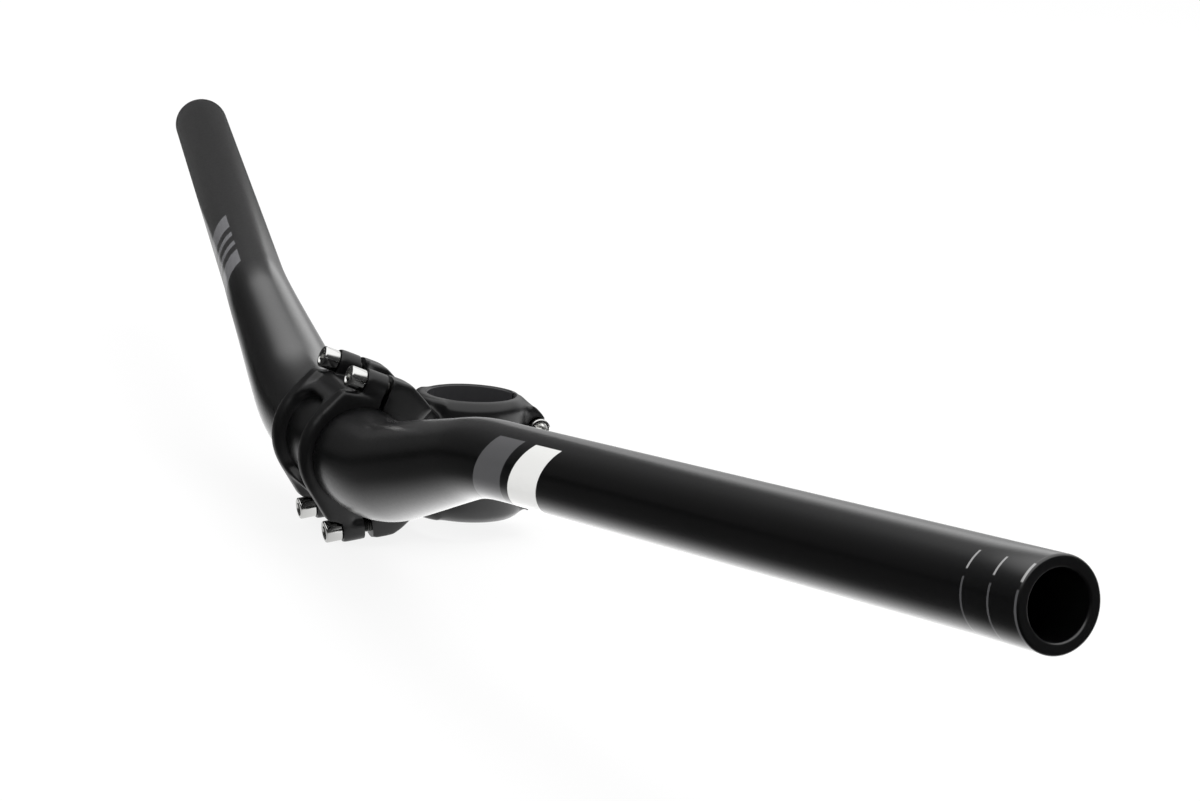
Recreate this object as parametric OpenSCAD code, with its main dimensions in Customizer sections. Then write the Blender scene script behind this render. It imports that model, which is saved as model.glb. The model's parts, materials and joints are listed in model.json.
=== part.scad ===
// Riser handlebar held in a short stem.
// The origin is on the steerer axis at the middle of the steerer clamp.
// X runs along the bar to the rider's left, Y points backwards, Z up the steerer.
// Lengths are in millimetres and angles in degrees.

/* [Handlebar] */
// Width of the bar from end to end
bar_width = 800; // [740:5:820]
// Diameter of the bar where the stem clamps it
bar_clamp_d = 31.8; // [31.8:0.1:32.4]
// Diameter of the bar under the grips
grip_d = 22.2; // [22:0.1:22.6]
// Height gained between the clamp and the outer bend
bar_rise = 25; // [18:1:32]
// Backward angle of the grips
backsweep = 9; // [6:0.5:10]
// Upward angle of the grips
upsweep = 5; // [3:0.5:7]
// Backward roll of the bar in the stem
bar_roll = 5.6; // [0:0.2:10]
// Half distance between the corners of the two inner bends
inner_corner = 45; // [42:1:50]
// Half distance between the corners of the two outer bends
outer_corner = 132; // [126:1:140]
// Setback of the outer corner behind the clamp axis
corner_setback = 6; // [3:0.5:9]
// Radius of the four bends, at the middle of the tube
bend_r = 130; // [110:5:140]
// Wall of the tube under the stem
clamp_wall = 2.6; // [2.2:0.1:3.2]
// Wall of the tube at its open ends
end_wall = 3.1; // [2.4:0.1:3.4]
// Rounding of the rims at the open ends
rim_round = 0.8; // [0.4:0.1:1]

/* [Stem] */
// Distance from the steerer axis to the bar axis
stem_length = 42; // [40:1:50]
// Upward angle of the stem
stem_rise = 5; // [2:1:6]
// Diameter of the steerer tube that the stem clamps
steerer_d = 28.6; // [28.4:0.1:28.8]
// Height of the steerer clamp
steerer_height = 40; // [38:1:42]
// Wall of the steerer clamp
steerer_wall = 4.6; // [4:0.1:5]
// Rounding of the outer edges of the steerer clamp
edge_round = 1.6; // [1:0.1:2]
// Radius of the rounded back of the pinch lugs
lug_round = 8; // [7:0.5:9]
// How far the pinch lugs reach behind the steerer axis
lug_reach = 22.6; // [22.4:0.1:24]
// Width over the two pinch lugs
lug_width = 21; // [20:0.5:23]
// Width of the slot between the pinch lugs
pinch_slot = 1.8; // [1.4:0.1:2.2]
// Distance between the two pinch bolts
pinch_spacing = 20; // [19:0.5:21]
// Distance from the steerer axis to the pinch bolts
pinch_offset = 20.2; // [20:0.1:20.6]
// Width of the stem body at its waist
waist_width = 28; // [26:1:30]
// Angle at which the arm narrows from the ears to the waist, seen from the side
arm_slope = 41; // [39:1:43]
// Height of the stem body at its waist
waist_height = 23; // [20:1:26]

/* [Bar clamp] */
// Width of the bar clamp
clamp_width = 41; // [40:0.5:43]
// Outer radius of the faceplate rings over the bar surface
ring_depth = 3.6; // [3.6:0.1:4.4]
// Width of each faceplate ring
ring_width = 7.6; // [7.2:0.1:9.4]
// Depth of the bridges that join the two rings
bridge_depth = 3.5; // [2.8:0.1:3.5]
// Half angle of the window between the rings
window_angle = 55; // [50:1:58]
// Radius of the rounded corners of the window
window_round = 9; // [6:0.5:10]
// Distance between the left and right faceplate bolts
bolt_spacing = 32; // [31:0.5:33]
// Distance from the bar axis to the line of each upper faceplate bolt
upper_offset = 22.4; // [22.2:0.1:23]
// Distance from the bar axis to the line of each lower faceplate bolt
lower_offset = 23.2; // [22.4:0.1:23.6]
// Angle between each faceplate bolt and the stem axis
bolt_splay = 15; // [12:1:17]
// Gap between the faceplate and the stem body above the bar
face_gap = 1.6; // [1:0.1:2.2]
// How much wider that gap is below the bar
lower_gap_extra = 1; // [0:0.1:1.4]
// Length of the upper faceplate bosses from the middle of the gap
upper_reach = 7.4; // [7:0.1:8.4]
// Length of the lower faceplate bosses from the middle of the gap
lower_reach = 8.6; // [8:0.1:9.6]
// Diameter of the bosses round the faceplate bolts
boss_d = 9; // [8.6:0.1:9.6]

/* [Bolts] */
// Thread diameter of the bolts
bolt_d = 5; // [4:0.5:5]
// Diameter of the bolt heads
head_d = 7; // [7:0.1:7.8]
// Height of the bolt heads
head_h = 5.5; // [5:0.1:6]
// Width across the flats of the key socket
key_af = 4; // [3:0.5:4.5]
// Depth of the key socket
key_depth = 3; // [2.4:0.1:3.4]
// Reach of the faceplate bolts behind the middle of the gap
thread_reach = 9.5; // [8:0.5:10]

/* [Fits] */
// Radial gap between the bar and the clamp bore
bar_fit = 0.05; // [0.02:0.01:0.1]
// Radial gap round the thread of a bolt in its tapped hole
thread_fit = 0.05; // [0.02:0.01:0.1]
// Radial gap round the shank of a bolt in its plain hole
shank_fit = 0.25; // [0.15:0.05:0.4]
// Radial gap round a bolt head in its recess
head_fit = 0.4; // [0.2:0.1:0.6]

/* [Hidden] */
$fn = 96;

black = [0.07, 0.07, 0.075];
silver = [0.78, 0.79, 0.8];

clamp_r = bar_clamp_d / 2;
grip_r = grip_d / 2;
bore_r = clamp_r + bar_fit;
steerer_r = steerer_d / 2;
ring_r = steerer_r + steerer_wall;
stem_out = stem_length * cos(stem_rise);
stem_up = stem_length * sin(stem_rise);

// Corners of the centre line of the bar, and the directions between them
arm_x = bar_width / 2 - outer_corner;
corner_a = [inner_corner, 0, 0];
corner_b = [outer_corner, corner_setback, bar_rise];
dir_a = [1, 0, 0];
dir_b = unit(corner_b - corner_a);
dir_c = unit([1, tan(backsweep), tan(upsweep)]);
grip_run = arm_x / dir_c[0];
angle_a = acos(dir_a * dir_b);
angle_b = acos(dir_b * dir_c);
tangent_a = bend_r * tan(angle_a / 2);
tangent_b = bend_r * tan(angle_b / 2);
side_a = unit(dir_b - dir_a * (dir_a * dir_b));
side_b = unit(dir_c - dir_b * (dir_b * dir_c));

// Distances along the centre line at which it changes between straight and bent
mark_1 = inner_corner - tangent_a;
mark_2 = mark_1 + bend_r * angle_a * PI / 180;
mark_3 = mark_2 + norm(corner_b - corner_a) - tangent_a - tangent_b;
mark_4 = mark_3 + bend_r * angle_b * PI / 180;
taper_start = mark_1 + 4;
taper_end = mark_4 + 9;
grip_length = mark_4 + grip_run - tangent_b - taper_end;

// Side view of the ears and the arm, measured behind the bar axis and off the stem axis
ear_depth = 7.4;
ear_inset = 0.2;

// Plan view of the arm, and the hollow between its ears
shoulder = 17;
waist_back = 26;
valley_width = bolt_spacing - boss_d - 5;
valley_back = 14;
valley_high = 19;
valley_slope = 8;

// Bar clamp, faceplate and pinch bolt details
cradle_r = bore_r + 4.4;
web_r = clamp_r + ring_depth;
web_start = 37;
web_tip = [-web_r * 0.385, -web_r * 1.128];
high_web_start = 40;
high_web_run = 10.4;
ring_bevel = 1.2;
window_aim = 30;
window_overlap = 4;
split_size = 90;
bore_break = 0.7;
pinch_seat = lug_width / 2 - 3.5;
pinch_reach = lug_width / 2 - 1;
head_break = 0.6;

// Polygons that stand for the bent and tapered tube
loft_sides = 36;
loft_rings = 20;
loft_inset = 0.03;
loft_overlap = 3;

function unit(v) = v / norm(v);

function smooth(t) = t * t * (3 - 2 * t);

function along(s) =
    s < mark_1 ? [s, 0, 0] :
    s < mark_2 ? corner_a - dir_a * tangent_a
        + bend_r * turned(dir_a, side_a, (s - mark_1) / bend_r * 180 / PI) :
    s < mark_3 ? corner_b - dir_b * (tangent_b + mark_3 - s) :
    s < mark_4 ? corner_b - dir_b * tangent_b
        + bend_r * turned(dir_b, side_b, (s - mark_3) / bend_r * 180 / PI) :
    corner_b + dir_c * (tangent_b + s - mark_4);

function turned(ahead, across, a) = ahead * sin(a) + across * (1 - cos(a));

function heading(s) =
    s < mark_1 ? dir_a :
    s < mark_2 ? swung(dir_a, side_a, (s - mark_1) / bend_r * 180 / PI) :
    s < mark_3 ? dir_b :
    s < mark_4 ? swung(dir_b, side_b, (s - mark_3) / bend_r * 180 / PI) :
    dir_c;

function swung(ahead, across, a) = ahead * cos(a) + across * sin(a);

function taper(s) = smooth(min(1, max(0, (s - taper_start) / (taper_end - taper_start))));

function outer_radius(s) = clamp_r + (grip_r - clamp_r) * taper(s);

function wall(s) = clamp_wall + (end_wall - clamp_wall) * taper(s);

function loft_ring(s, r) =
    let (ahead = heading(s), across = unit(cross(ahead, [0, 0, 1])), above = cross(across, ahead))
    [for (k = [0:loft_sides - 1])
        let (a = 360 * (k + 0.5) / loft_sides)
        along(s) + r * (cos(a) * across + sin(a) * above)];

function loft_station(k) =
    mark_1 - loft_overlap + (taper_end - mark_1 + 2 * loft_overlap) * k / (loft_rings - 1);

function loft_faces() = concat(
    [[for (k = [0:loft_sides - 1]) loft_sides - 1 - k]],
    [for (j = [0:loft_rings - 2], k = [0:loft_sides - 1], h = [0, 1])
        let (a = j * loft_sides + k, b = j * loft_sides + (k + 1) % loft_sides)
        h == 0 ? [a, b, a + loft_sides] : [b, b + loft_sides, a + loft_sides]],
    [[for (k = [0:loft_sides - 1]) (loft_rings - 1) * loft_sides + k]]);

// Bent and tapered length of one arm, as the outside of the tube or as its bore
module arm_loft(inside) {
    polyhedron(
        points = [for (j = [0:loft_rings - 1])
            let (s = loft_station(j))
            each loft_ring(s, outer_radius(s) - loft_inset - (inside ? wall(s) : 0))],
        faces = loft_faces(),
        convexity = 4);
}

// Places its children at the end of the taper, with Z along the grip towards the bar end
module at_grip() {
    translate(along(taper_end))
        rotate([0, acos(dir_c[2]), atan2(dir_c[1], dir_c[0])])
            children();
}

// Straight length of one arm under the grip, with its rim rounded
module grip_outside() {
    at_grip()
        rotate_extrude()
            union() {
                square([grip_r, grip_length - rim_round]);
                square([grip_r - rim_round, grip_length]);
                translate([grip_r - rim_round, grip_length - rim_round])
                    circle(r = rim_round, $fn = 24);
            }
}

module grip_bore() {
    at_grip()
        rotate_extrude()
            union() {
                square([grip_r - end_wall, grip_length + 1]);
                translate([0, grip_length - rim_round / 2])
                    polygon([[0, 0], [grip_r - end_wall, 0],
                        [grip_r - end_wall + rim_round / 2, rim_round / 2],
                        [grip_r - end_wall + rim_round / 2, 1], [0, 1]]);
            }
}

module both_arms() {
    children();
    mirror([1, 0, 0])
        children();
}

// One hollow moulded tube, thick at the clamp, narrowing to the grips through four bends
module handlebar() {
    color(black)
        at_bar()
            rotate([bar_roll, 0, 0])
                difference() {
                    union() {
                        rotate([0, 90, 0])
                            cylinder(r = clamp_r, h = 2 * mark_1, center = true);
                        both_arms() {
                            arm_loft(false);
                            grip_outside();
                        }
                    }
                    rotate([0, 90, 0])
                        cylinder(r = clamp_r - clamp_wall, h = 2 * mark_1, center = true);
                    both_arms() {
                        arm_loft(true);
                        grip_bore();
                    }
                }
}

// Places its children at the middle of the bar clamp
module at_bar() {
    translate([0, -stem_out, stem_up])
        children();
}

// Places its children at the bar clamp with -Y along the stem
module at_clamp() {
    at_bar()
        rotate([-stem_rise, 0, 0])
            children();
}

// Places its children on the axis of a faceplate bolt, Z towards the head, zero at mid gap
module on_bolt(side, up) {
    at_clamp()
        rotate([-up * bolt_splay, 0, 0])
            translate([side * bolt_spacing / 2, 0, up * bolt_offset(up)])
                rotate([90, 0, 0])
                    children();
}

module on_all_bolts() {
    for (side = [-1, 1], up = [-1, 1])
        on_bolt(side, up)
            children();
}

// Space behind both splits of the bar clamp, which are square to the bolts
module behind_split(ahead, lower_ahead) {
    at_clamp()
        intersection() {
            rotate([-bolt_splay, 0, 0])
                translate([-split_size / 2, -ahead, -split_size / 2])
                    cube(split_size);
            rotate([bolt_splay, 0, 0])
                translate([-split_size / 2, -lower_ahead, -split_size / 2])
                    cube(split_size);
        }
}

// Disc square to the bar with its two rims cut back, each by a width and a depth
module bar_disc(r, width, low, high) {
    rotate([0, 90, 0])
        rotate_extrude()
            polygon([[0, -width / 2], [r - low[1], -width / 2], [r, low[0] - width / 2],
                [r, width / 2 - high[0]], [r - high[1], width / 2], [0, width / 2]]);
}

// Corners of an ear in side view, above or below: behind the bar axis, and off the stem axis
function ear_front(up) =
    (bolt_offset(up) + boss_d / 2 - ear_inset) * [sin(bolt_splay), up * cos(bolt_splay)];

function ear_back(up) = ear_front(up) + ear_depth * [cos(bolt_splay), -up * sin(bolt_splay)];

// Where the slope that leaves an ear meets the waist
function arm_root(up) =
    [ear_back(up)[0] + (up * ear_back(up)[1] - waist_height / 2) / tan(arm_slope),
        up * waist_height / 2];

// Side view of the arm between the bar clamp and the steerer clamp
module arm_side() {
    at_clamp()
        rotate([90, 0, 90])
            linear_extrude(height = clamp_width, center = true)
                polygon([[0, 0], ear_front(1), ear_back(1), arm_root(1),
                    [stem_length, waist_height / 2], [stem_length, -waist_height / 2],
                    arm_root(-1), ear_back(-1), ear_front(-1)]);
}

// Plan view of the arm, drawn in to the waist
module arm_plan() {
    at_clamp()
        linear_extrude(height = split_size, center = true)
            polygon([[-clamp_width / 2, -1], [clamp_width / 2, -1],
                [clamp_width / 2, shoulder], [waist_width / 2, waist_back],
                [waist_width / 2, stem_length], [-waist_width / 2, stem_length],
                [-waist_width / 2, waist_back], [-clamp_width / 2, shoulder]]);
}

// Hollow between the two ears of the arm, above or below
module arm_valley(up) {
    at_clamp()
        rotate([0, 90 - 90 * up, 0])
            translate([0, valley_back, valley_high])
                rotate([valley_slope - arm_slope, 0, 0])
                    translate([-valley_width / 2, -split_size / 2, 0])
                        cube([valley_width, split_size, split_size]);
}

// Steerer clamp with rounded outer edges
module steerer_ring() {
    rotate_extrude()
        union() {
            translate([0, -steerer_height / 2])
                square([ring_r - edge_round, steerer_height]);
            translate([0, edge_round - steerer_height / 2])
                square([ring_r, steerer_height - 2 * edge_round]);
            for (up = [-1, 1])
                translate([ring_r - edge_round, up * (steerer_height / 2 - edge_round)])
                    circle(r = edge_round, $fn = 24);
        }
}

// Pinch lugs behind the steerer clamp, in one block before the slot is cut
module lugs() {
    rotate([90, 0, 90])
        linear_extrude(height = lug_width, center = true)
            union() {
                for (up = [-1, 1])
                    translate([lug_reach - lug_round, up * (steerer_height / 2 - lug_round)])
                        circle(r = lug_round);
                translate([lug_reach - lug_round, lug_round - steerer_height / 2])
                    square([lug_round, steerer_height - 2 * lug_round]);
                translate([0, -steerer_height / 2])
                    square([lug_reach - lug_round, steerer_height]);
            }
}

// Places its children on the axis of a pinch bolt, Z towards the head
module on_pinch(up) {
    translate([0, pinch_offset, up * pinch_spacing / 2])
        rotate([0, 90, 0])
            children();
}

// One forging, bored for the steerer and the bar, slotted behind and tapped for six bolts
module stem_body() {
    color(black)
        difference() {
            union() {
                steerer_ring();
                lugs();
                intersection() {
                    behind_split(-face_gap / 2, -face_gap / 2);
                    union() {
                        at_clamp()
                            bar_disc(cradle_r, clamp_width, [1, 1], [1, 1]);
                        difference() {
                            intersection() {
                                arm_side();
                                arm_plan();
                            }
                            arm_valley(1);
                            arm_valley(-1);
                        }
                        on_all_bolts()
                            translate([0, 0, -ear_depth])
                                cylinder(d = boss_d, h = ear_depth);
                    }
                }
            }
            cylinder(r = steerer_r, h = steerer_height + 2, center = true);
            for (up = [-1, 1])
                translate([0, 0, up * steerer_height / 2])
                    rotate([90 - 90 * up, 0, 0])
                        translate([0, 0, -bore_break])
                            cylinder(r1 = steerer_r, r2 = steerer_r + 2 * bore_break,
                                h = 2 * bore_break);
            at_clamp()
                rotate([0, 90, 0])
                    cylinder(r = bore_r, h = clamp_width + 2, center = true);
            translate([-pinch_slot / 2, 0, -steerer_height])
                cube([pinch_slot, 2 * lug_reach, 2 * steerer_height]);
            for (up = [-1, 1])
                on_pinch(up) {
                    translate([0, 0, pinch_seat])
                        cylinder(d = head_d + 2 * head_fit, h = lug_width);
                    cylinder(d = bolt_d + 2 * shank_fit, h = lug_width);
                    translate([0, 0, -pinch_reach - 1])
                        cylinder(d = bolt_d + 2 * thread_fit, h = pinch_reach + 2);
                }
            on_all_bolts()
                translate([0, 0, -thread_reach - 0.5])
                    cylinder(d = bolt_d + 2 * thread_fit, h = thread_reach + 1);
        }
}

// Clamp cap with two rings, two bridges and four bosses round one tall window
module faceplate() {
    color(black)
        difference() {
            union() {
                at_clamp() {
                    difference() {
                        bar_disc(clamp_r + bridge_depth, clamp_width - ring_width,
                            [0.5, 0.5], [0.5, 0.5]);
                        window();
                    }
                    for (side = [-1, 1])
                        translate([side * (clamp_width - ring_width) / 2, 0, 0])
                            rotate([0, 90 - 90 * side, 0])
                                bar_disc(clamp_r + ring_depth, ring_width,
                                    [ring_bevel, ring_bevel], [ring_bevel, ring_bevel]);
                }
                for (side = [-1, 1], up = [-1, 1])
                    on_bolt(side, up)
                        cylinder(d = boss_d, h = seat(up));
                webs();
            }
            behind_split(face_gap / 2, face_gap / 2 + lower_gap_extra);
            at_clamp() {
                rotate([0, 90, 0])
                    cylinder(r = bore_r, h = clamp_width + 2, center = true);
                translate([-clamp_width, 0, -bore_r])
                    cube([2 * clamp_width, 2 * bore_r, 2 * bore_r]);
            }
            for (side = [-1, 1], up = [-1, 1])
                on_bolt(side, up) {
                    translate([0, 0, -1])
                        cylinder(d = bolt_d + 2 * shank_fit, h = seat(up) + 2);
                    translate([0, 0, seat(up)])
                        cylinder(d = head_d + 2 * head_fit, h = 2 * head_h);
                }
        }
}

function seat(up) = up > 0 ? upper_reach : lower_reach;

function bolt_offset(up) = up > 0 ? upper_offset : lower_offset;

// Underside of the recess round an upper bolt head, at a distance from the middle of the gap
function under_head(reach) = (upper_offset - head_d / 2 - head_fit) * [sin(bolt_splay),
    cos(bolt_splay)] + reach * [-cos(bolt_splay), sin(bolt_splay)];

// Webs that carry each ring straight on to its bosses, up to under the heads and down past them
module webs() {
    leave = [-cos(high_web_start), sin(high_web_start)];
    tip = web_r * leave + high_web_run * [sin(high_web_start), cos(high_web_start)];
    at_clamp()
        for (side = [-1, 1])
            translate([side * (clamp_width - ring_width) / 2, 0, 0])
                rotate([90, 0, 90])
                    linear_extrude(height = ring_width - 0.4, center = true) {
                        polygon([[0, 0], web_r * [-cos(web_start), -sin(web_start)],
                            web_tip, [0, web_tip[1]]]);
                        polygon([[0, 0], web_r * leave, tip, under_head(upper_reach + 1),
                            under_head(0)]);
                    }
}

// Opening in front of the bar between the rings, arched above and below
module window() {
    inner = clamp_width - 2 * (ring_width - ring_bevel);
    far = 2 * clamp_r;
    middle_r = clamp_r + bridge_depth / 2;
    arch_top = middle_r * sin(window_angle - window_aim);
    arch_start = arch_top - window_round;
    wedge_half = window_aim + asin(arch_start / middle_r);
    rotate([90, 0, 90])
        linear_extrude(height = inner, center = true)
            polygon([[0, 0], [-far * cos(wedge_half), far * sin(wedge_half)],
                [-far * cos(wedge_half), -far * sin(wedge_half)]]);
    for (up = [-1, 1])
        rotate([90 - up * window_aim, 0, 0])
            linear_extrude(height = far)
                union() {
                    for (side = [-1, 1])
                        translate([side * (inner / 2 - window_round), up * arch_start])
                            circle(r = window_round);
                    translate([window_round - inner / 2, min(0, up * arch_top)])
                        square([inner - 2 * window_round, abs(arch_top)]);
                    translate([-inner / 2, min(up * arch_start, up * (arch_start - window_overlap))])
                        square([inner, window_overlap]);
                }
}

// Socket head bolt with its seat at zero and its head along Z
module bolt(reach) {
    difference() {
        union() {
            rotate_extrude()
                polygon([[0, 0], [head_d / 2, 0], [head_d / 2, head_h - head_break],
                    [head_d / 2 - head_break, head_h], [0, head_h]]);
            rotate_extrude()
                polygon([[0, 0.5], [bolt_d / 2, 0.5], [bolt_d / 2, head_break - reach],
                    [bolt_d / 2 - head_break, -reach], [0, -reach]]);
        }
        translate([0, 0, head_h - key_depth])
            cylinder(r = key_af / sqrt(3), h = key_depth + 1, $fn = 6);
    }
}

module faceplate_bolt(side, up) {
    color(silver)
        on_bolt(side, up)
            translate([0, 0, seat(up)])
                bolt(seat(up) + thread_reach);
}

module pinch_bolt(up) {
    color(silver)
        on_pinch(up)
            translate([0, 0, pinch_seat])
                bolt(pinch_seat + pinch_reach);
}

handlebar();
stem_body();
faceplate();
faceplate_bolt(1, 1);  // faceplate_bolt_upper_left
faceplate_bolt(-1, 1);  // faceplate_bolt_upper_right
faceplate_bolt(1, -1);  // faceplate_bolt_lower_left
faceplate_bolt(-1, -1);  // faceplate_bolt_lower_right
pinch_bolt(1);  // pinch_bolt_upper
pinch_bolt(-1);  // pinch_bolt_lower
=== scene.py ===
import json
import math

import bpy
import numpy as np
from mathutils import Matrix, Vector

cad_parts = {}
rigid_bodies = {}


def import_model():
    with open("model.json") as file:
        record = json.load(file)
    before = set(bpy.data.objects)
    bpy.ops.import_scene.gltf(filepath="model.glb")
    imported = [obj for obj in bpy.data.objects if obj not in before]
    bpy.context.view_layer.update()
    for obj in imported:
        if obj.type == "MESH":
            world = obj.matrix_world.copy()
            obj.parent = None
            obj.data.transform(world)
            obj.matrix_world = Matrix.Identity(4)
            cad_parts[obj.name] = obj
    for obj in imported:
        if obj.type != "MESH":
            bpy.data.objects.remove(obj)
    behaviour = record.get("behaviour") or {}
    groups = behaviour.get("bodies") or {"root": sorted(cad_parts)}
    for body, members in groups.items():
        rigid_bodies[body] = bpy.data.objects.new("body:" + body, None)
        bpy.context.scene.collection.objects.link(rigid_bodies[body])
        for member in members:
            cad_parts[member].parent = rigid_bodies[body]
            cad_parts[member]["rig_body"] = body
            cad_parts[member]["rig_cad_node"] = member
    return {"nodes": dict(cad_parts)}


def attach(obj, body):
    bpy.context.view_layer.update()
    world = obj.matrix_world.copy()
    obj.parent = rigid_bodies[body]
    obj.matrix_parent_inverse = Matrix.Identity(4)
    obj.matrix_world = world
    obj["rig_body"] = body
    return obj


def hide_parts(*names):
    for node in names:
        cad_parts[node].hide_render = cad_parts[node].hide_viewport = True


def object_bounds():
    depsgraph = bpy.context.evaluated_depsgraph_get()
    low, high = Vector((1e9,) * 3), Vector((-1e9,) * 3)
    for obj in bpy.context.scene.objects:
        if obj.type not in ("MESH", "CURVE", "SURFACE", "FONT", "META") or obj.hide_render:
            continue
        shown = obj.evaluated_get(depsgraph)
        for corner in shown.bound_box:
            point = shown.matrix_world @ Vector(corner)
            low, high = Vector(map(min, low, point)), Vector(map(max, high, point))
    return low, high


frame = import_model()
cad_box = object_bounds()

# Handlebar
# One hollow tube of carbon-fibre cloth, laid up and cured in a mould, bent four times and
# tapered from the stem clamp to the grips. Its ends are cut square, rounded and open.
half_width = 0.4
backsweep = math.radians(9)
upsweep = math.radians(5)
clamp_radius = 0.0159
grip_radius = 0.0111
clamp_wall = 0.0026
end_wall = 0.0031
rim_round = 0.0008
bend_radius = 0.13
inner_corner = Vector((0.045, 0, 0))
outer_corner = Vector((0.132, 0.006, 0.025))
bar_roll = math.radians(5.6)
clamp_place = Vector((0, -0.0418402, 0.0036605))
tube_sides = 96
taper_delay = 0.004
taper_overrun = 0.009
weld_gap = 0.00002

along_clamp = Vector((1, 0, 0))
along_rise = (outer_corner - inner_corner).normalized()
along_grip = Vector((1, math.tan(backsweep), math.tan(upsweep))).normalized()
inner_bend = along_clamp.angle(along_rise)
outer_bend = along_rise.angle(along_grip)
inner_tangent = bend_radius * math.tan(inner_bend / 2)
outer_tangent = bend_radius * math.tan(outer_bend / 2)
middle_run = inner_corner.x - inner_tangent
rise_run = (outer_corner - inner_corner).length - inner_tangent - outer_tangent
grip_run = (half_width - outer_corner.x) / along_grip.x - outer_tangent
bends_end = middle_run + bend_radius * (inner_bend + outer_bend) + rise_run
bar_reach = bends_end + grip_run
taper_starts = middle_run + taper_delay
taper_ends = bends_end + taper_overrun


def taper(reach):
    part = min(1, max(0, (reach - taper_starts) / (taper_ends - taper_starts)))
    return part * part * (3 - 2 * part)


def outside(reach):
    return clamp_radius + (grip_radius - clamp_radius) * taper(reach)


def inside(reach):
    return outside(reach) - clamp_wall - (end_wall - clamp_wall) * taper(reach)


def resize_ring(change):
    bpy.ops.transform.resize(value=(change, change, change), center_override=ring["place"])


def lay_straight(run, steps, radius_at, way=1):
    for _ in range(steps):
        step = ring["heading"] * (run / steps)
        bpy.ops.mesh.extrude_region_move(TRANSFORM_OT_translate={"value": step})
        ring["place"] = ring["place"] + step
        old_radius = radius_at(ring["reach"])
        ring["reach"] += way * run / steps
        resize_ring(radius_at(ring["reach"]) / old_radius)
        stations.append((ring["reach"], ring["place"].copy(), ring["heading"] * way))


def lay_bend(towards, steps, radius_at, way=1):
    turn = ring["heading"].angle(towards)
    axis = ring["heading"].cross(towards).normalized()
    pivot = ring["place"] + axis.cross(ring["heading"]) * bend_radius
    turn_step = Matrix.Rotation(turn / steps, 3, axis)
    for _ in range(steps):
        bpy.ops.mesh.spin(steps=1, angle=-turn / steps, center=pivot, axis=axis)
        ring["place"] = pivot + turn_step @ (ring["place"] - pivot)
        ring["heading"] = turn_step @ ring["heading"]
        old_radius = radius_at(ring["reach"])
        ring["reach"] += way * bend_radius * turn / steps
        resize_ring(radius_at(ring["reach"]) / old_radius)
        stations.append((ring["reach"], ring["place"].copy(), ring["heading"] * way))


bpy.ops.object.select_all(action="DESELECT")
bpy.ops.mesh.primitive_circle_add(vertices=tube_sides, radius=clamp_radius,
                                  rotation=(0, math.pi / 2, 0))
bar = bpy.context.object
bar.name = "bar_tube"
bpy.ops.object.transform_apply()
bpy.ops.object.mode_set(mode="EDIT")
bpy.ops.mesh.select_all(action="SELECT")
# The outside is laid from the middle of the bar to its end, then the rim, then the inside back.
ring = {"place": Vector((0, 0, 0)), "heading": along_clamp.copy(), "reach": 0.0}
stations = [(0.0, Vector((0, 0, 0)), along_clamp.copy())]
lay_straight(middle_run, 3, outside)
lay_bend(along_rise, 14, outside)
lay_straight(rise_run, 14, outside)
lay_bend(along_grip, 10, outside)
lay_straight(taper_ends - bends_end, 3, outside)
lay_straight(bar_reach - rim_round - taper_ends, 14, outside)
rim_steps = 5
quarter = [math.pi / 2 * k / rim_steps for k in range(rim_steps + 1)]
rim = [(grip_radius - rim_round * (1 - math.cos(a)), rim_round * math.sin(a)) for a in quarter]
rim += [(grip_radius - end_wall + rim_round * (1 - math.sin(a)), rim_round * math.cos(a))
        for a in quarter]
for (old_radius, old_out), (new_radius, new_out) in zip(rim, rim[1:]):
    step = ring["heading"] * (new_out - old_out)
    bpy.ops.mesh.extrude_region_move(TRANSFORM_OT_translate={"value": step})
    ring["place"] = ring["place"] + step
    resize_ring(new_radius / old_radius)
    stations.append((bar_reach - rim_round + new_out, ring["place"].copy(), ring["heading"]))
ring["heading"] = -ring["heading"]
lay_straight(bar_reach - rim_round - taper_ends, 6, inside, -1)
lay_straight(taper_ends - bends_end, 3, inside, -1)
lay_bend(-along_rise, 8, inside, -1)
lay_straight(rise_run, 8, inside, -1)
lay_bend(-along_clamp, 8, inside, -1)
lay_straight(middle_run, 2, inside, -1)
bpy.ops.object.mode_set(mode="OBJECT")
bpy.ops.object.modifier_add(type="MIRROR")
bar.modifiers["Mirror"].merge_threshold = weld_gap
bpy.ops.object.modifier_apply(modifier="Mirror")
bpy.ops.object.mode_set(mode="EDIT")
bpy.ops.mesh.select_all(action="SELECT")
bpy.ops.mesh.remove_doubles(threshold=weld_gap)
bpy.ops.mesh.normals_make_consistent(inside=False)
bpy.ops.object.mode_set(mode="OBJECT")
bpy.ops.object.shade_smooth()

# The printing follows the tube: U is the distance from the middle of the bar in millimetres,
# and V is the angle round it from the front in degrees.
wrap = bar.data.uv_layers.new(name="bar_wrap")
reaches = np.array([s[0] for s in stations])
places = np.array([tuple(s[1]) for s in stations])
headings = np.array([tuple(s[2]) for s in stations])
points = np.array([tuple(v.co) for v in bar.data.vertices])
hands = np.where(points[:, 0] < 0, -1.0, 1.0)
points[:, 0] = abs(points[:, 0])
gaps = points[:, None, :] - places[None]
beyond_tube = 0.017
off_plane = (abs((gaps * headings[None]).sum(-1))
             + (np.linalg.norm(gaps, axis=-1) > beyond_tube))
nearest = off_plane.argmin(1)
arms = gaps[np.arange(len(points)), nearest]
ahead = np.array((0.0, -1.0, 0.0)) - headings[nearest] * headings[nearest][:, 1:2] * -1
ahead /= np.linalg.norm(ahead, axis=1)[:, None]
above = np.cross(ahead, headings[nearest])
above *= np.sign(above[:, 2:3])
angles = np.degrees(np.arctan2((arms * above).sum(1), (arms * ahead).sum(1)))
along = hands * reaches[nearest] * 1000
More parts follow.
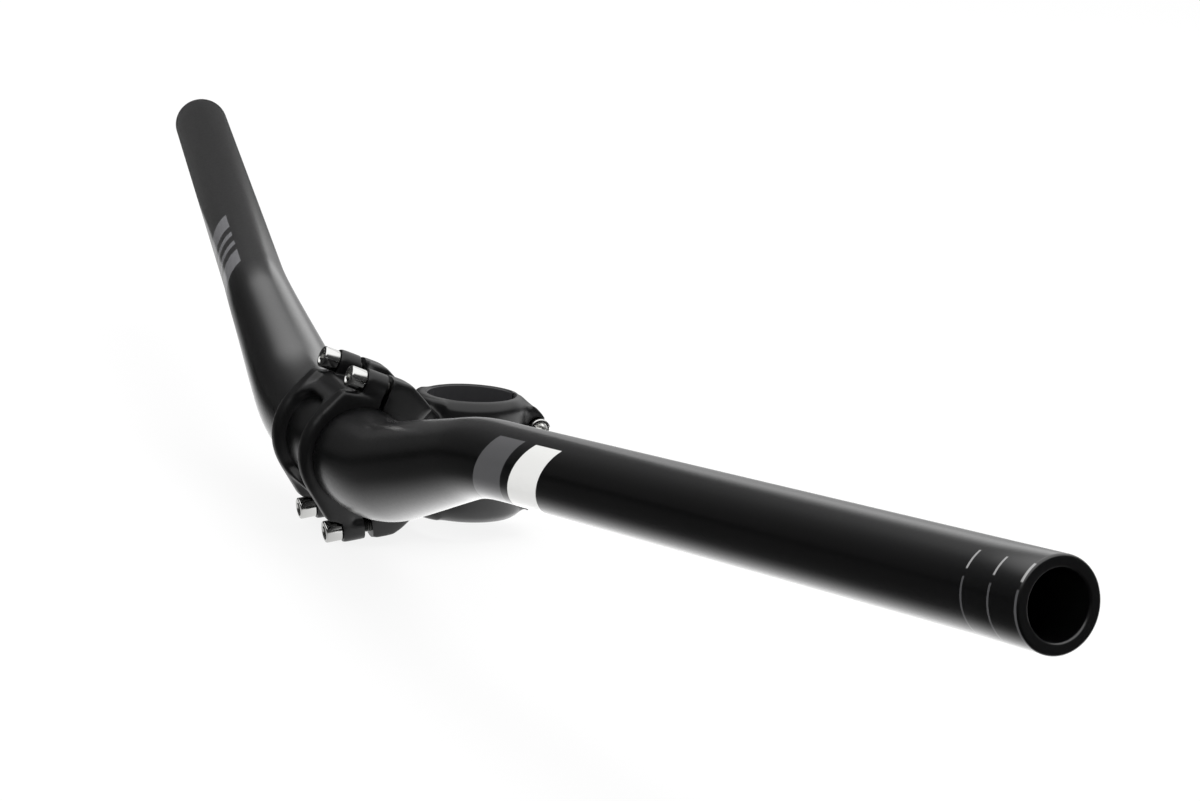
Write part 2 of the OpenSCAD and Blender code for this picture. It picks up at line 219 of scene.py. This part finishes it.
for face in bar.data.polygons:
    face_points = [bar.data.loops[k].vertex_index for k in face.loop_indices]
    turns = [angles[c] for c in face_points]
    if max(turns) - min(turns) > 180:
        turns = [a + 360 if a < 0 else a for a in turns]
    for k, point, turn in zip(face.loop_indices, face_points, turns):
        wrap.data[k].uv = (along[point], turn)

bar.rotation_euler = (bar_roll, 0, 0)
bar.location = clamp_place
bpy.ops.object.transform_apply()


def colour(hex_code):
    shares = [int(hex_code[k:k + 2], 16) / 255 for k in (1, 3, 5)]
    return tuple(c / 12.92 if c <= 0.04045 else ((c + 0.055) / 1.055) ** 2.4
                 for c in shares) + (1.0,)


def add_node(material, kind, inputs=None, **settings):
    node = material.node_tree.nodes.new(kind)
    for name, value in settings.items():
        setattr(node, name, value)
    for socket, value in (inputs or {}).items():
        if isinstance(value, bpy.types.NodeSocket):
            material.node_tree.links.new(value, node.inputs[socket])
        else:
            node.inputs[socket].default_value = value
    return node


def start_material(name):
    material = bpy.data.materials.new(name)
    material.use_nodes = True
    material.node_tree.nodes.clear()
    return material


def finish_material(material, surface):
    add_node(material, "ShaderNodeOutputMaterial", {"Surface": surface.outputs["BSDF"]})


def combine(operation, first, second=0.0, third=0.0):
    return add_node(carbon, "ShaderNodeMath", {0: first, 1: second, 2: third},
                    operation=operation).outputs[0]


def within(value, low, high, soft):
    above_low = add_node(carbon, "ShaderNodeMapRange", {"Value": value, "From Min": low,
                         "From Max": combine("ADD", low, soft)}).outputs[0]
    below_high = add_node(carbon, "ShaderNodeMapRange", {"Value": value,
                          "From Min": combine("SUBTRACT", high, soft), "From Max": high,
                          "To Min": 1.0, "To Max": 0.0}).outputs[0]
    return combine("MULTIPLY", above_low, below_high)


def slanted_band(left, left_slope, right, right_slope, low_angle, high_angle):
    left_edge = combine("MULTIPLY_ADD", around, left_slope, left)
    right_edge = combine("MULTIPLY_ADD", around, right_slope, right)
    lengthwise = within(reach, left_edge, right_edge, 0.15)
    return combine("MULTIPLY", lengthwise, within(around, low_angle, high_angle, 0.8))


# Clear-coated carbon fibre, sanded and sprayed satin: near black, with a soft haze that grows
# towards the edges of the tube, a fine unevenness in the coat, printed bands and blocks, and
# cut marks at the left end.
carbon = start_material("satin_lacquered_carbon_fibre")
wrap_node = add_node(carbon, "ShaderNodeUVMap", uv_map="bar_wrap")
wrap_parts = add_node(carbon, "ShaderNodeSeparateXYZ", {0: wrap_node.outputs["UV"]})
reach = wrap_parts.outputs["X"]
around = wrap_parts.outputs["Y"]
grey_band = slanted_band(150.9, 0.135, 167.2, 0.115, -100, 57)
white_band = slanted_band(172.2, 0.145, 188.7, 0.118, -100, 56)
block_slope = -0.13
right_blocks = slanted_band(-153.5, block_slope, -137.0, block_slope, -60, 62)
for left_edge, right_edge in ((-166, -160.5), (-178.5, -173), (-203, -185.5)):
    right_blocks = combine("MAXIMUM", right_blocks, slanted_band(
        left_edge, block_slope, right_edge, block_slope, -60, 62))
half_spacing = 5.0  # the cut marks are 10 mm apart
on_mark = combine("MULTIPLY", within(reach, 383, 408, 0.1),
                  within(combine("WRAP", reach, half_spacing, -half_spacing),
                         -3.45, -2.65, 0.1))
# The cut marks are print. Their upper part is painted lighter as a painted highlight, and their
# lower part darker as painted shade.
painted_lit_cut_marks = combine("MULTIPLY", on_mark, within(around, 34, 62, 1.5))
painted_shaded_cut_marks = combine("MULTIPLY", on_mark, within(around, -48, 26, 1.5))
carbon_place = add_node(carbon, "ShaderNodeTexCoord")
fine_grain = add_node(carbon, "ShaderNodeTexNoise", {"Vector": carbon_place.outputs["Object"],
                      "Scale": 900.0, "Detail": 3.0, "Roughness": 0.6})
slow_haze = add_node(carbon, "ShaderNodeTexNoise", {"Vector": carbon_place.outputs["Object"],
                     "Scale": 45.0, "Detail": 2.0})
black_lacquer = add_node(carbon, "ShaderNodeMix", {"Factor": slow_haze.outputs["Fac"],
                         6: colour("#050506"), 7: colour("#08080a")}, data_type="RGBA")
with_grey = add_node(carbon, "ShaderNodeMix", {"Factor": grey_band,
                     6: black_lacquer.outputs[2], 7: colour("#7c7c7e")}, data_type="RGBA")
with_white = add_node(carbon, "ShaderNodeMix", {"Factor": white_band,
                      6: with_grey.outputs[2], 7: colour("#f2f2f0")}, data_type="RGBA")
with_blocks = add_node(carbon, "ShaderNodeMix", {"Factor": right_blocks,
                       6: with_white.outputs[2], 7: colour("#77777a")}, data_type="RGBA")
# The dark grey of the lower cut marks is painted shade, and the light grey of the upper cut marks
# is a painted highlight.
with_shaded_cut_marks = add_node(carbon, "ShaderNodeMix", {"Factor": painted_shaded_cut_marks,
                      6: with_blocks.outputs[2], 7: colour("#4c4c4e")}, data_type="RGBA")
with_lit_cut_marks = add_node(carbon, "ShaderNodeMix", {"Factor": painted_lit_cut_marks,
                      6: with_shaded_cut_marks.outputs[2], 7: colour("#9c9c9c")}, data_type="RGBA")
haze = add_node(carbon, "ShaderNodeMapRange", {"Value": fine_grain.outputs["Fac"],
                "To Min": 0.26, "To Max": 0.38})
unevenness = add_node(carbon, "ShaderNodeBump", {"Height": fine_grain.outputs["Fac"],
                      "Strength": 0.06, "Distance": 0.0002})
lacquered = add_node(carbon, "ShaderNodeBsdfPrincipled", {
    "Base Color": with_lit_cut_marks.outputs[2], "Roughness": haze.outputs[0],
    "Normal": unevenness.outputs[0], "IOR": 1.5,
    "Metallic": combine("MULTIPLY", grey_band, 0.55),
    "Coat Weight": 1.0, "Coat Roughness": 0.2, "Coat IOR": 1.5})
finish_material(carbon, lacquered)
bar.data.materials.append(carbon)
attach(bar, "root")
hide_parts("handlebar")

# Stem body and faceplate
# Two pieces of aluminium, forged and machined, blasted and anodised black. The faceplate
# closes round the bar with four bolts, and the stem body round the steerer with two.
steerer_radius = 0.0143
bar_bore = 0.01595
stem_rise = math.radians(-5)
bolt_splay = math.radians(15)
bolt_side = 0.016
# The key 1 stands for the upper bolts and the upper gap, and -1 for the lower ones.
bolt_offset = {1: 0.0224, -1: 0.0232}
bolt_seat = {1: 0.0074, -1: 0.0086}
gap_ahead = {1: 0.0008, -1: 0.0018}
pinch_offset = 0.0202
pinch_height = 0.01
pinch_seat = 0.007
seat_radius = 0.0039
voxel_size = 0.00045
smooth_rounds = 60

# Anodised aluminium, blasted first: black and softly shining, with a fine grain. The colour is
# a lighter grey inside the steerer bore.
anodised = start_material("blasted_black_anodised_aluminium")
anodised_place = add_node(anodised, "ShaderNodeTexCoord")
blasting = add_node(anodised, "ShaderNodeTexNoise", {"Vector": anodised_place.outputs["Object"],
                    "Scale": 1800.0, "Detail": 2.0})
blasted_haze = add_node(anodised, "ShaderNodeMapRange", {"Value": blasting.outputs["Fac"],
                        "To Min": 0.28, "To Max": 0.40})
blasted_relief = add_node(anodised, "ShaderNodeBump", {"Height": blasting.outputs["Fac"],
                          "Strength": 0.15, "Distance": 0.0001})
off_axis = add_node(anodised, "ShaderNodeVectorMath", {
    0: anodised_place.outputs["Object"], 1: (1, 1, 0)}, operation="MULTIPLY")
off_axis = add_node(anodised, "ShaderNodeVectorMath", {0: off_axis.outputs[0]},
                    operation="LENGTH")
in_bore = add_node(anodised, "ShaderNodeMapRange", {"Value": off_axis.outputs["Value"],
                   "From Min": steerer_radius + 0.0001, "From Max": steerer_radius + 0.0003,
                   "To Min": 1.0, "To Max": 0.0})
black_and_bore_grey = add_node(anodised, "ShaderNodeMix", {"Factor": in_bore.outputs[0],
                     6: colour("#0d0d0e"), 7: colour("#3a3a3c")}, data_type="RGBA")
anodised_surface = add_node(anodised, "ShaderNodeBsdfPrincipled", {
    "Base Color": black_and_bore_grey.outputs[2], "Roughness": blasted_haze.outputs[0],
    "Normal": blasted_relief.outputs[0], "IOR": 1.5})
finish_material(anodised, anodised_surface)


def merged_copy(node, name):
    bpy.ops.object.select_all(action="DESELECT")
    source = frame["nodes"][node]
    source.select_set(True)
    bpy.context.view_layer.objects.active = source
    bpy.ops.object.duplicate()
    piece = bpy.context.object
    piece.parent = None
    piece.name = name
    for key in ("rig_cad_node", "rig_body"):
        del piece[key]
    piece.data.materials.clear()
    bpy.ops.object.mode_set(mode="EDIT")
    bpy.ops.mesh.select_all(action="SELECT")
    bpy.ops.mesh.remove_doubles(threshold=0.000002)
    bpy.ops.object.mode_set(mode="OBJECT")
    return piece


def tilted(angle):
    return Matrix.Translation(clamp_place) @ Matrix.Rotation(angle, 4, "X")


def rod(radius, low, high, place, radius_high=None, sides=96):
    bpy.ops.object.select_all(action="DESELECT")
    bpy.ops.mesh.primitive_cone_add(vertices=sides, radius1=radius, radius2=radius_high or radius,
                                    depth=high - low, location=(0, 0, (low + high) / 2))
    bpy.ops.object.transform_apply()
    bpy.context.object.matrix_world = place
    bpy.ops.object.transform_apply()
    return bpy.context.object


def block(corner, far_corner, place):
    bpy.ops.object.select_all(action="DESELECT")
    middle = [(a + b) / 2 for a, b in zip(corner, far_corner)]
    bpy.ops.mesh.primitive_cube_add(size=1, location=middle,
                                    scale=[b - a for a, b in zip(corner, far_corner)])
    bpy.ops.object.transform_apply()
    bpy.context.object.matrix_world = place
    bpy.ops.object.transform_apply()
    return bpy.context.object


def soften(piece, fillings, voxel, rounds):
    bpy.ops.object.select_all(action="DESELECT")
    for part in fillings + [piece]:
        part.select_set(True)
    bpy.context.view_layer.objects.active = piece
    bpy.ops.object.join()
    bpy.ops.object.modifier_add(type="REMESH")
    piece.modifiers["Remesh"].voxel_size = voxel
    bpy.ops.object.modifier_apply(modifier="Remesh")
    bpy.ops.object.modifier_add(type="SMOOTH")
    piece.modifiers["Smooth"].factor = 0.5
    piece.modifiers["Smooth"].iterations = rounds
    bpy.ops.object.modifier_apply(modifier="Smooth")


def machine(piece, cutters):
    for cutter in cutters:
        bpy.ops.object.select_all(action="DESELECT")
        piece.select_set(True)
        bpy.context.view_layer.objects.active = piece
        bpy.ops.object.modifier_add(type="BOOLEAN")
        cut = piece.modifiers["Boolean"]
        cut.operation = "DIFFERENCE"
        cut.solver = "MANIFOLD"
        cut.object = cutter
        bpy.ops.object.modifier_apply(modifier="Boolean")
        bpy.data.objects.remove(cutter)
    bpy.ops.object.shade_smooth_by_angle(angle=math.radians(32))


def split_plane(up):
    return tilted(stem_rise - bolt_splay * up)


def bolt_line(side, up):
    return (split_plane(up)
            @ Matrix.Translation((bolt_side * side, 0, bolt_offset[up] * up))
            @ Matrix.Rotation(math.pi / 2, 4, "X"))


def split_place(up):
    place = split_plane(up)
    return place if up > 0 else place @ Matrix.Rotation(math.pi, 4, "Y")


def ear_slope(up):
    level = tilted(stem_rise) @ Matrix.Rotation(math.pi * (1 - up) / 2, 4, "Y")
    return (level @ Matrix.Translation((0, 0.01406, 0.02387))
            @ Matrix.Rotation(math.radians(-41), 4, "X"))


def pinch_line(up):
    return (Matrix.Translation((0, pinch_offset, pinch_height * up))
            @ Matrix.Rotation(math.pi / 2, 4, "Y"))


def use_for(piece, node):
    piece.data.materials.clear()
    piece.data.materials.append(anodised)
    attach(piece, "root")
    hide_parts(node)


# Both pieces start as one soft forging, with every hole and gap still filled. The bores,
# splits, slot and bolt seats are machined afterwards, so only they have crisp edges.
corners = [(side, up) for side in (1, -1) for up in (1, -1)]
upright = Matrix.Identity(4)
below = Matrix.Rotation(math.pi, 4, "Y")
bar_line = tilted(stem_rise) @ Matrix.Rotation(math.pi / 2, 4, "Y")
stem = merged_copy("stem_body", "stem_forging")
for up in (1, -1):
    facing = upright if up > 0 else below
    # The cuts round off the steerer clamp's edge and slope the top of the pinch lugs.
    shoulder = rod(0.0206, 0.0168, 0.0212, facing)
    machine(shoulder, [rod(0.01994, 0.0165, 0.0215, facing, 0.01417),
                       block((-0.03, -0.03, 0.01), (0.03, -0.0125, 0.03), facing)])
    lug_top = facing @ Matrix.Translation((0, 0.0165, 0.0198)) @ Matrix.Rotation(
        math.radians(-45), 4, "X")
    machine(stem, [shoulder, block((-0.012, -0.003, 0), (0.012, 0.014, 0.008), lug_top)])
cap = merged_copy("faceplate", "faceplate_forging")
bore_fillings = [rod(0.0146, -0.0199, 0.0199, upright), rod(0.0153, -0.0204, 0.0204, bar_line)]
slot_fillings = [block((-0.001, 0.013, -0.0165), (0.001, 0.0185, 0.0165), upright),
                 block((-0.001, 0.018, -0.0136), (0.001, 0.0222, 0.0136), upright)]
pinch_fillings = [rod(seat_radius, -0.0104, 0.0104, pinch_line(up)) for up in (1, -1)]
bolt_fillings = [rod(0.0044, -0.0074, bolt_seat[up] + 0.0008, bolt_line(side, up))
                 for side, up in corners]
split_fillings = [block((-0.0203, -0.0028, 0.012), (0.0203, 0.0020, 0.0192), split_place(up))
                  for up in (1, -1)]
lower_bridge = [block((-0.0125, -0.0030, 0.0060), (0.0125, -0.0004, 0.0104),
                      tilted(stem_rise) @ Matrix.Rotation(math.radians(-50), 4, "X")
                      @ Matrix.Translation((0, -0.0195, 0)) @ Matrix.Rotation(math.pi, 4, "Z"))]
arm_shoulders = [block((side * 0.010, 0, -0.009), (side * 0.0203, 0.0105, -0.0002),
                       ear_slope(up)) for side, up in corners]
soften(stem, [cap] + bore_fillings + slot_fillings + pinch_fillings + bolt_fillings
       + split_fillings + lower_bridge + arm_shoulders, voxel_size, smooth_rounds)
bpy.ops.object.duplicate()
plate = bpy.context.object
plate.name = "faceplate_cap"
edge_radius = 0.0163
machine(stem, [rod(steerer_radius, -0.022, 0.022, upright),
               rod(steerer_radius, 0.0193, 0.0213, upright, edge_radius),
               rod(edge_radius, -0.0213, -0.0193, upright, steerer_radius),
               rod(bar_bore, -0.03, 0.03, bar_line),
               block((-0.0009, 0.0, -0.03), (0.0009, 0.04, 0.03), upright)]
        + [block((-0.03, -0.05, -0.05), (0.03, 0.0008, 0.05), split_plane(up))
           for up in (1, -1)]
        + [rod(seat_radius, pinch_seat, 0.03, pinch_line(up)) for up in (1, -1)]
        + [rod(0.0026, -0.02, 0.02, pinch_line(up)) for up in (1, -1)]
        + [rod(0.00255, -0.01, 0.001, bolt_line(side, up)) for side, up in corners])
use_for(stem, "stem_body")
machine(plate, [rod(bar_bore, -0.03, 0.03, bar_line)]
        + [block((-0.03, -gap_ahead[up], -0.004), (0.03, 0.09, 0.05), split_place(up))
           for up in (1, -1)]
        + [rod(0.0047, bolt_seat[up], bolt_seat[up] + 0.0014, bolt_line(side, up))
           for side, up in corners]
        + [rod(seat_radius, bolt_seat[up], 0.02, bolt_line(side, up)) for side, up in corners]
        + [rod(0.00275, -0.002, 0.02, bolt_line(side, up)) for side, up in corners])
use_for(plate, "faceplate")

# Bolts
# Six M5 bolts with round heads and hexagon sockets, turned from stainless steel and polished,
# with rolled threads. Four of them hold the faceplate and two pinch the steerer clamp.
head_radius = 0.0035
head_height = 0.0055
head_round = 0.0005
thread_radius = 0.0025
thread_pitch = 0.0008
groove_share = 0.9
key_across_flats = 0.004
key_depth = 0.003
drill_depth = 0.0042

# Polished stainless steel: bright, with faint smears that spread the reflections a little.
polished = start_material("polished_stainless_steel")
polished_place = add_node(polished, "ShaderNodeTexCoord")
smears = add_node(polished, "ShaderNodeTexNoise", {"Vector": polished_place.outputs["Object"],
                  "Scale": 600.0, "Detail": 2.0})
polish = add_node(polished, "ShaderNodeMapRange", {"Value": smears.outputs["Fac"],
                  "To Min": 0.10, "To Max": 0.20})
steel = add_node(polished, "ShaderNodeBsdfPrincipled", {
    "Base Color": colour("#dededc"), "Metallic": 1.0, "Roughness": polish.outputs[0]})
finish_material(polished, steel)

# Rolled thread of the same steel, dull, with a dark colour that is painted shade: it stands for
# the shade in the gaps and bolt holes the bolts pass through. Two dark greys are mixed at random.
thread = start_material("rolled_steel_thread_painted_shade")
thread_place = add_node(thread, "ShaderNodeTexCoord")
thread_mottle = add_node(thread, "ShaderNodeTexNoise", {"Vector": thread_place.outputs["Object"],
                 "Scale": 900.0, "Detail": 2.0})
shaded_thread_colour = add_node(thread, "ShaderNodeMix", {"Factor": thread_mottle.outputs["Fac"],
                  6: colour("#3a3a3a"), 7: colour("#585856")}, data_type="RGBA")
thread_steel = add_node(thread, "ShaderNodeBsdfPrincipled", {
    "Base Color": shaded_thread_colour.outputs[2], "Metallic": 1.0, "Roughness": 0.45})
finish_material(thread, thread_steel)


def make_bolt(name, reach):
    bpy.ops.object.select_all(action="DESELECT")
    bpy.ops.mesh.primitive_cylinder_add(vertices=64, radius=head_radius, depth=head_height,
                                        location=(0, 0, head_height / 2))
    bolt = bpy.context.object
    bolt.name = name
    bpy.ops.object.transform_apply()
    bpy.ops.object.modifier_add(type="BEVEL")
    bolt.modifiers["Bevel"].width = head_round
    bolt.modifiers["Bevel"].segments = 4
    bolt.modifiers["Bevel"].limit_method = "ANGLE"
    bpy.ops.object.modifier_apply(modifier="Bevel")
    for face in bolt.data.polygons:
        face.select = face.normal.z < -0.99
    bpy.ops.object.mode_set(mode="EDIT")
    bpy.ops.mesh.inset(thickness=head_radius - head_round - thread_radius)
    height = 0.0
    while height > 0.0006 - reach:
        for change in (groove_share, 1 / groove_share):
            height -= thread_pitch / 2
            bpy.ops.mesh.extrude_region_move(
                TRANSFORM_OT_translate={"value": (0, 0, -thread_pitch / 2)})
            bpy.ops.transform.resize(value=(change, change, 1), center_override=(0, 0, height))
    bpy.ops.object.mode_set(mode="OBJECT")
    key = rod(key_across_flats / 2 / math.cos(math.pi / 6), head_height - key_depth, 0.007,
              upright, sides=6)
    drill_point = rod(0.00005, head_height - drill_depth, head_height - 0.0029, upright, 0.00185)
    mouth = rod(0.0019, head_height - 0.0006, head_height + 0.0003, upright, 0.0028)
    machine(bolt, [key, drill_point, mouth])
    bolt.data.materials.clear()
    bolt.data.materials.append(polished)
    bolt.data.materials.append(thread)
    # The faces below the head get the dark thread steel, which is painted shade.
    for face in bolt.data.polygons:
        face.material_index = 1 if face.center.z < -0.0002 else 0
    return bolt


def fit_bolt(pattern, name, node, place):
    bpy.ops.object.select_all(action="DESELECT")
    pattern.select_set(True)
    bpy.context.view_layer.objects.active = pattern
    bpy.ops.object.duplicate()
    bolt = bpy.context.object
    bolt.name = name
    bolt.matrix_world = place
    bpy.ops.object.transform_apply()
    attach(bolt, "root")
    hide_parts(node)


# Each length of bolt is made once, standing at the origin, and copied to its places.
hand_name = {1: "left", -1: "right"}
height_name = {1: "upper", -1: "lower"}
faceplate_patterns = {up: make_bolt(f"faceplate_bolt_pattern_{height_name[up]}",
                                    bolt_seat[up] + 0.0095) for up in (1, -1)}
for side, up in corners:
    end = f"{height_name[up]}_{hand_name[side]}"
    fit_bolt(faceplate_patterns[up], "clamp_screw_" + end, "faceplate_bolt_" + end,
             bolt_line(side, up) @ Matrix.Translation((0, 0, bolt_seat[up])))
pinch_pattern = make_bolt("pinch_bolt_pattern", 0.0165)
for up in (1, -1):
    fit_bolt(pinch_pattern, "pinch_screw_" + height_name[up], "pinch_bolt_" + height_name[up],
             pinch_line(up) @ Matrix.Translation((0, 0, pinch_seat)))
for pattern in (faceplate_patterns[1], faceplate_patterns[-1], pinch_pattern):
    bpy.data.objects.remove(pattern)

# Camera
# The photograph is taken from beyond the left grip, a little in front and above.
camera_data = bpy.data.cameras.new("camera")
camera_data.sensor_width = 36
camera_data.lens = 98.84
camera_data.clip_end = 20
camera = bpy.data.objects.new("camera", camera_data)
bpy.context.scene.collection.objects.link(camera)
right = (0.33799, 0.93902, 0.06322)
up = (-0.20445, 0.00769, 0.97884)
behind = (0.91867, -0.34377, 0.19458)
camera_spot = (0.998016, -0.328680, 0.228346)
camera.matrix_world = Matrix(list(zip(right, up, behind, camera_spot)) + [(0, 0, 0, 1)])
bpy.context.scene.camera = camera

# Floor
# A plain white table, which keeps the shadow. What the part mirrors of it is darker in front
# and beyond both ends of the bar, as in a studio that is lit from one side.
low = cad_box[0][2]
bpy.ops.object.select_all(action="DESELECT")
bpy.ops.mesh.primitive_plane_add(size=14, location=(0, 0, low - 0.0005))
floor = bpy.context.object
floor.name = "floor"
white_table = start_material("white_table")
light_path = add_node(white_table, "ShaderNodeLightPath")
table_place = add_node(white_table, "ShaderNodeTexCoord")
table_parts = add_node(white_table, "ShaderNodeSeparateXYZ", {0: table_place.outputs["Object"]})
backwards = add_node(white_table, "ShaderNodeMath", {0: table_parts.outputs["X"], 1: -0.12,
                     2: table_parts.outputs["Y"]}, operation="MULTIPLY_ADD")
mirrored = add_node(white_table, "ShaderNodeMapRange", {"Value": backwards.outputs[0],
                    "From Min": -0.100, "From Max": 0.022, "To Min": 0.03, "To Max": 2.1},
                    interpolation_type="SMOOTHSTEP")
far_fade = add_node(white_table, "ShaderNodeMapRange", {"Value": table_parts.outputs["X"],
                    "From Min": -0.35, "From Max": -0.08, "To Min": 0.25, "To Max": 1.0})
near_fade = add_node(white_table, "ShaderNodeMapRange", {"Value": table_parts.outputs["X"],
                     "From Min": 0.34, "From Max": 0.42, "To Min": 1.0, "To Max": 0.02})
fades = add_node(white_table, "ShaderNodeMath", {0: near_fade.outputs[0],
                 1: far_fade.outputs[0]}, operation="MULTIPLY")
mirrored = add_node(white_table, "ShaderNodeMath", {0: mirrored.outputs[0],
                    1: fades.outputs[0]}, operation="MULTIPLY")
bright = add_node(white_table, "ShaderNodeMix", {"Factor": light_path.outputs["Is Glossy Ray"],
                  2: 1.0, 3: mirrored.outputs[0]})
table_colour = add_node(white_table, "ShaderNodeMix", {
    "Factor": bright.outputs[0], 6: colour("#000000"), 7: colour("#e9e9e9")}, data_type="RGBA")
seen = add_node(white_table, "ShaderNodeMath", {0: light_path.outputs["Is Camera Ray"],
                1: light_path.outputs["Is Glossy Ray"]}, operation="MAXIMUM")
seen = add_node(white_table, "ShaderNodeMath", {0: seen.outputs[0],
                1: light_path.outputs["Is Transmission Ray"]}, operation="MAXIMUM")
table_share = add_node(white_table, "ShaderNodeMath", {0: seen.outputs[0], 1: 0.85},
                       operation="MULTIPLY")
table_paint = add_node(white_table, "ShaderNodeBsdfDiffuse", {"Color": table_colour.outputs[2]})
table_glow = add_node(white_table, "ShaderNodeEmission", {"Strength": bright.outputs[0]})
table_mix = add_node(white_table, "ShaderNodeMixShader", {0: table_share.outputs[0],
                     1: table_paint.outputs[0], 2: table_glow.outputs[0]})
add_node(white_table, "ShaderNodeOutputMaterial", {"Surface": table_mix.outputs[0]})
white_table.cycles.emission_sampling = "NONE"
floor.data.materials.append(white_table)

# Black card
# A flag beside the stem that keeps the faces turned to the camera dark. It works from the
# stem's side only.
bpy.ops.mesh.primitive_plane_add(size=1, location=(0.13, 0.05, -0.035),
                                 rotation=(0, -math.pi / 2, 0))
card = bpy.context.object
card.scale = (0.10, 0.12, 1)
card.name = "black_card"
black_card = start_material("matt_black_card")
card_side = add_node(black_card, "ShaderNodeNewGeometry")
card_paint = add_node(black_card, "ShaderNodeBsdfDiffuse", {"Color": colour("#0a0a0a")})
card_clear = add_node(black_card, "ShaderNodeBsdfTransparent")
card_mix = add_node(black_card, "ShaderNodeMixShader", {0: card_side.outputs["Backfacing"],
                    1: card_paint.outputs[0], 2: card_clear.outputs[0]})
add_node(black_card, "ShaderNodeOutputMaterial", {"Surface": card_mix.outputs[0]})
card.data.materials.append(black_card)
card.visible_camera = False
card.visible_diffuse = False
card.visible_shadow = False

# Grey card
# A second flag beyond the end of the right arm, which keeps that arm's middle dark and leaves
# the light on its rear edge.
bpy.ops.mesh.primitive_plane_add(size=1, location=(-0.5, 0.01, 0.15),
                                 rotation=(0, -math.pi / 2, 0))
far_card = bpy.context.object
far_card.scale = (0.30, 0.22, 1)
far_card.name = "grey_card"
grey_card = start_material("matt_grey_card")
grey_paint = add_node(grey_card, "ShaderNodeBsdfDiffuse", {"Color": colour("#505050")})
finish_material(grey_card, grey_paint)
far_card.data.materials.append(grey_card)
far_card.visible_camera = False
far_card.visible_diffuse = False
far_card.visible_shadow = False

# Light
# A white room, dark on the photographer's side, and one broad soft lamp above.
world = bpy.data.worlds.new("studio")
bpy.context.scene.world = world
world.cycles.sampling_method = "NONE"
world.use_nodes = True
world.node_tree.nodes.clear()
world_path = add_node(world, "ShaderNodeLightPath")
world_way = add_node(world, "ShaderNodeTexCoord")
facing = add_node(world, "ShaderNodeVectorMath", {0: world_way.outputs["Generated"],
                  1: (-0.707, 0.707, 0)}, operation="DOT_PRODUCT")
reflected = add_node(world, "ShaderNodeMapRange", {"Value": facing.outputs["Value"],
                     "From Min": 0.68, "From Max": 0.92, "To Min": 0.05, "To Max": 1.1},
                     interpolation_type="SMOOTHSTEP")
height = add_node(world, "ShaderNodeSeparateXYZ", {0: world_way.outputs["Generated"]})
overhead = add_node(world, "ShaderNodeMapRange", {"Value": height.outputs["Z"],
                    "From Min": 0.48, "From Max": 0.7, "To Min": 0.05, "To Max": 1.6},
                    interpolation_type="SMOOTHSTEP")
upper_share = add_node(world, "ShaderNodeMapRange", {"Value": height.outputs["Z"],
                       "From Min": 0.13, "From Max": 0.33, "To Min": 0.42, "To Max": 1.4},
                       interpolation_type="SMOOTHSTEP")
backdrop = add_node(world, "ShaderNodeMath", {0: reflected.outputs[0],
                    1: upper_share.outputs[0]}, operation="MULTIPLY")
lit = add_node(world, "ShaderNodeMath", {0: backdrop.outputs[0], 1: overhead.outputs[0]},
               operation="MAXIMUM")
plain = add_node(world, "ShaderNodeMix", {"Factor": world_path.outputs["Is Glossy Ray"],
                 2: 1.35, 3: lit.outputs[0]})
shown = add_node(world, "ShaderNodeMath", {0: world_path.outputs["Is Camera Ray"],
                 1: world_path.outputs["Is Transmission Ray"]}, operation="MAXIMUM")
strength = add_node(world, "ShaderNodeMix", {"Factor": shown.outputs[0],
                    2: plain.outputs[0], 3: 1.0})
sky = add_node(world, "ShaderNodeBackground", {"Strength": strength.outputs[0]})
add_node(world, "ShaderNodeOutputWorld", {"Surface": sky.outputs[0]})
lamp_data = bpy.data.lights.new("soft_lamp", "AREA")
lamp_data.shape = "RECTANGLE"
lamp_data.size = 2.0
lamp_data.size_y = 1.2
lamp_data.energy = 30
lamp = bpy.data.objects.new("soft_lamp", lamp_data)
bpy.context.scene.collection.objects.link(lamp)
lamp.visible_glossy = False
lamp.location = (-0.4, 0.9, 2.0)
towards_part = -Vector(lamp.location)
lamp.rotation_euler = towards_part.to_track_quat("-Z", "Y").to_euler()

bpy.context.scene.view_settings.view_transform = "Standard"
